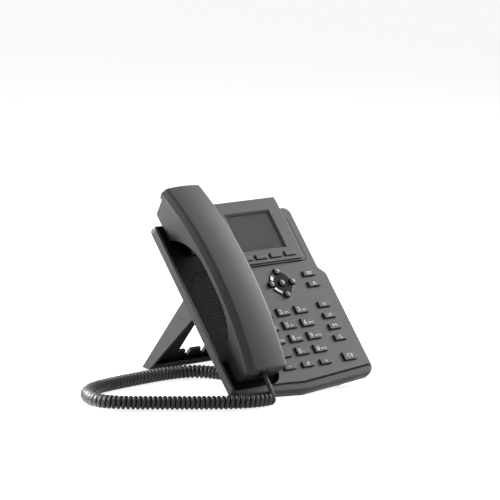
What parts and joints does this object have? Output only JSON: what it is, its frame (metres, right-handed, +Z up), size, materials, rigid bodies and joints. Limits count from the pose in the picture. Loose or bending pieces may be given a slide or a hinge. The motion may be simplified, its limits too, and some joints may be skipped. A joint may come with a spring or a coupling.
{
  "type": "desk ip phone",
  "caption": "Desk telephone with a tilted keypad housing, a colour display head, a handset in a side cradle on a curly cord, and a clip-on rear stand.",
  "frame": {"origin": "on the table, under the middle of the phone without its cord", "axes": "+Z up, -Y towards the user, +X to the user's right"},
  "size_m": [0.2635, 0.2117, 0.1848],
  "materials": {
    "housing": "fine spark-eroded texture",
    "grille": "matt black, perforated",
    "glass": "clear display lens",
    "panel": "dark display panel",
    "dish": "polished black",
    "key": "satin with white print",
    "nav_key": "satin silver-grey caps",
    "rubber": "matt",
    "silicone": "moulded",
    "board": "green solder mask",
    "speaker_metal": "pressed steel",
    "screw": "zinc plated",
    "socket": "moulded",
    "hook": "satin",
    "plug": "moulded",
    "cord": "satin jacket"
  },
  "bodies": {
    "base": {"front_cover": "housing", "speaker_grille": "grille", "back_cover": "housing", "back_screws": "screw", "front_feet": "rubber", "stand_frame": "housing", "stand_foot_strip": "rubber", "display_bezel": "housing", "display_lens": "glass", "lcd_panel": "panel", "nav_dish": "dish", "keypad_mat": "silicone", "main_board": "board", "loudspeaker": "speaker_metal", "network_jacks": "socket", "handset_jack": "socket", "headset_jack": "socket", "power_inlet": "socket", "plug_base": "plug", "cord_coil": "cord", "cord_lead_handset": "cord", "cord_lead_base": "cord"},
    "handset": {"handset_outer": "housing", "handset_inner": "housing", "handset_receiver": "speaker_metal", "handset_mic": "speaker_metal", "handset_socket": "socket", "plug_handset": "plug"},
    "hook": {"hook_switch": "hook"},
    "key_1": {"key_1": "key"},
    "key_2": {"key_2": "key"},
    "key_3": {"key_3": "key"},
    "key_4": {"key_4": "key"},
    "key_5": {"key_5": "key"},
    "key_6": {"key_6": "key"},
    "key_7": {"key_7": "key"},
    "key_8": {"key_8": "key"},
    "key_9": {"key_9": "key"},
    "key_star": {"key_star": "key"},
    "key_0": {"key_0": "key"},
    "key_hash": {"key_hash": "key"},
    "key_hold": {"key_hold": "key"},
    "key_transfer": {"key_transfer": "key"},
    "key_conference": {"key_conference": "key"},
    "key_redial": {"key_redial": "key"},
    "key_line_1": {"key_line_1": "key"},
    "key_line_2": {"key_line_2": "key"},
    "key_volume_down": {"key_volume_down": "key"},
    "key_mute": {"key_mute": "key"},
    "key_volume_up": {"key_volume_up": "key"},
    "key_speaker": {"key_speaker": "key"},
    "key_soft_1": {"key_soft_1": "key"},
    "key_soft_2": {"key_soft_2": "key"},
    "key_soft_3": {"key_soft_3": "key"},
    "key_soft_4": {"key_soft_4": "key"},
    "key_nav_up": {"key_nav_up": "nav_key"},
    "key_nav_down": {"key_nav_down": "nav_key"},
    "key_nav_left": {"key_nav_left": "nav_key"},
    "key_nav_right": {"key_nav_right": "nav_key"},
    "key_nav_ok": {"key_nav_ok": "nav_key"}
  },
  "joints": [
    {"name": "handset_lift", "type": "slide", "parent": "base", "child": "handset", "axis": [0, -0.766, 0.6428], "range_m": [0, 0.06]},
    {"name": "hook_travel", "type": "slide", "parent": "base", "child": "hook", "axis": [0, -0.766, 0.6428], "range_m": [0, 0.003]},
    {"name": "key_1_press", "type": "slide", "parent": "base", "child": "key_1", "axis": [0, -0.766, 0.6428], "range_m": [-0.001, 0], "stiffness_N_per_m": 400},
    {"name": "key_2_press", "type": "slide", "parent": "base", "child": "key_2", "axis": [0, -0.766, 0.6428], "range_m": [-0.001, 0], "stiffness_N_per_m": 400},
    {"name": "key_3_press", "type": "slide", "parent": "base", "child": "key_3", "axis": [0, -0.766, 0.6428], "range_m": [-0.001, 0], "stiffness_N_per_m": 400},
    {"name": "key_4_press", "type": "slide", "parent": "base", "child": "key_4", "axis": [0, -0.766, 0.6428], "range_m": [-0.001, 0], "stiffness_N_per_m": 400},
    {"name": "key_5_press", "type": "slide", "parent": "base", "child": "key_5", "axis": [0, -0.766, 0.6428], "range_m": [-0.001, 0], "stiffness_N_per_m": 400},
    {"name": "key_6_press", "type": "slide", "parent": "base", "child": "key_6", "axis": [0, -0.766, 0.6428], "range_m": [-0.001, 0], "stiffness_N_per_m": 400},
    {"name": "key_7_press", "type": "slide", "parent": "base", "child": "key_7", "axis": [0, -0.766, 0.6428], "range_m": [-0.001, 0], "stiffness_N_per_m": 400},
    {"name": "key_8_press", "type": "slide", "parent": "base", "child": "key_8", "axis": [0, -0.766, 0.6428], "range_m": [-0.001, 0], "stiffness_N_per_m": 400},
    {"name": "key_9_press", "type": "slide", "parent": "base", "child": "key_9", "axis": [0, -0.766, 0.6428], "range_m": [-0.001, 0], "stiffness_N_per_m": 400},
    {"name": "key_star_press", "type": "slide", "parent": "base", "child": "key_star", "axis": [0, -0.766, 0.6428], "range_m": [-0.001, 0], "stiffness_N_per_m": 400},
    {"name": "key_0_press", "type": "slide", "parent": "base", "child": "key_0", "axis": [0, -0.766, 0.6428], "range_m": [-0.001, 0], "stiffness_N_per_m": 400},
    {"name": "key_hash_press", "type": "slide", "parent": "base", "child": "key_hash", "axis": [0, -0.766, 0.6428], "range_m": [-0.001, 0], "stiffness_N_per_m": 400},
    {"name": "key_hold_press", "type": "slide", "parent": "base", "child": "key_hold", "axis": [0, -0.766, 0.6428], "range_m": [-0.001, 0], "stiffness_N_per_m": 400},
    {"name": "key_transfer_press", "type": "slide", "parent": "base", "child": "key_transfer", "axis": [0, -0.766, 0.6428], "range_m": [-0.001, 0], "stiffness_N_per_m": 400},
    {"name": "key_conference_press", "type": "slide", "parent": "base", "child": "key_conference", "axis": [0, -0.766, 0.6428], "range_m": [-0.001, 0], "stiffness_N_per_m": 400},
    {"name": "key_redial_press", "type": "slide", "parent": "base", "child": "key_redial", "axis": [0, -0.766, 0.6428], "range_m": [-0.001, 0], "stiffness_N_per_m": 400},
    {"name": "key_line_1_press", "type": "slide", "parent": "base", "child": "key_line_1", "axis": [0, -0.766, 0.6428], "range_m": [-0.001, 0], "stiffness_N_per_m": 400},
    {"name": "key_line_2_press", "type": "slide", "parent": "base", "child": "key_line_2", "axis": [0, -0.766, 0.6428], "range_m": [-0.001, 0], "stiffness_N_per_m": 400},
    {"name": "key_volume_down_press", "type": "slide", "parent": "base", "child": "key_volume_down", "axis": [0, -0.766, 0.6428], "range_m": [-0.001, 0], "stiffness_N_per_m": 400},
    {"name": "key_mute_press", "type": "slide", "parent": "base", "child": "key_mute", "axis": [0, -0.766, 0.6428], "range_m": [-0.001, 0], "stiffness_N_per_m": 400},
    {"name": "key_volume_up_press", "type": "slide", "parent": "base", "child": "key_volume_up", "axis": [0, -0.766, 0.6428], "range_m": [-0.001, 0], "stiffness_N_per_m": 400},
    {"name": "key_speaker_press", "type": "slide", "parent": "base", "child": "key_speaker", "axis": [0, -0.766, 0.6428], "range_m": [-0.001, 0], "stiffness_N_per_m": 400},
    {"name": "key_soft_1_press", "type": "slide", "parent": "base", "child": "key_soft_1", "axis": [0, -0.766, 0.6428], "range_m": [-0.001, 0], "stiffness_N_per_m": 400},
    {"name": "key_soft_2_press", "type": "slide", "parent": "base", "child": "key_soft_2", "axis": [0, -0.766, 0.6428], "range_m": [-0.001, 0], "stiffness_N_per_m": 400},
    {"name": "key_soft_3_press", "type": "slide", "parent": "base", "child": "key_soft_3", "axis": [0, -0.766, 0.6428], "range_m": [-0.001, 0], "stiffness_N_per_m": 400},
    {"name": "key_soft_4_press", "type": "slide", "parent": "base", "child": "key_soft_4", "axis": [0, -0.766, 0.6428], "range_m": [-0.001, 0], "stiffness_N_per_m": 400},
    {"name": "key_nav_up_press", "type": "slide", "parent": "base", "child": "key_nav_up", "axis": [0, -0.766, 0.6428], "range_m": [-0.001, 0], "stiffness_N_per_m": 400},
    {"name": "key_nav_down_press", "type": "slide", "parent": "base", "child": "key_nav_down", "axis": [0, -0.766, 0.6428], "range_m": [-0.001, 0], "stiffness_N_per_m": 400},
    {"name": "key_nav_left_press", "type": "slide", "parent": "base", "child": "key_nav_left", "axis": [0, -0.766, 0.6428], "range_m": [-0.001, 0], "stiffness_N_per_m": 400},
    {"name": "key_nav_right_press", "type": "slide", "parent": "base", "child": "key_nav_right", "axis": [0, -0.766, 0.6428], "range_m": [-0.001, 0], "stiffness_N_per_m": 400},
    {"name": "key_nav_ok_press", "type": "slide", "parent": "base", "child": "key_nav_ok", "axis": [0, -0.766, 0.6428], "range_m": [-0.001, 0], "stiffness_N_per_m": 400}
  ],
  "couplings": [
    {"joint": "hook_travel", "follows": "handset_lift", "ratio": 0.05}
  ]
}
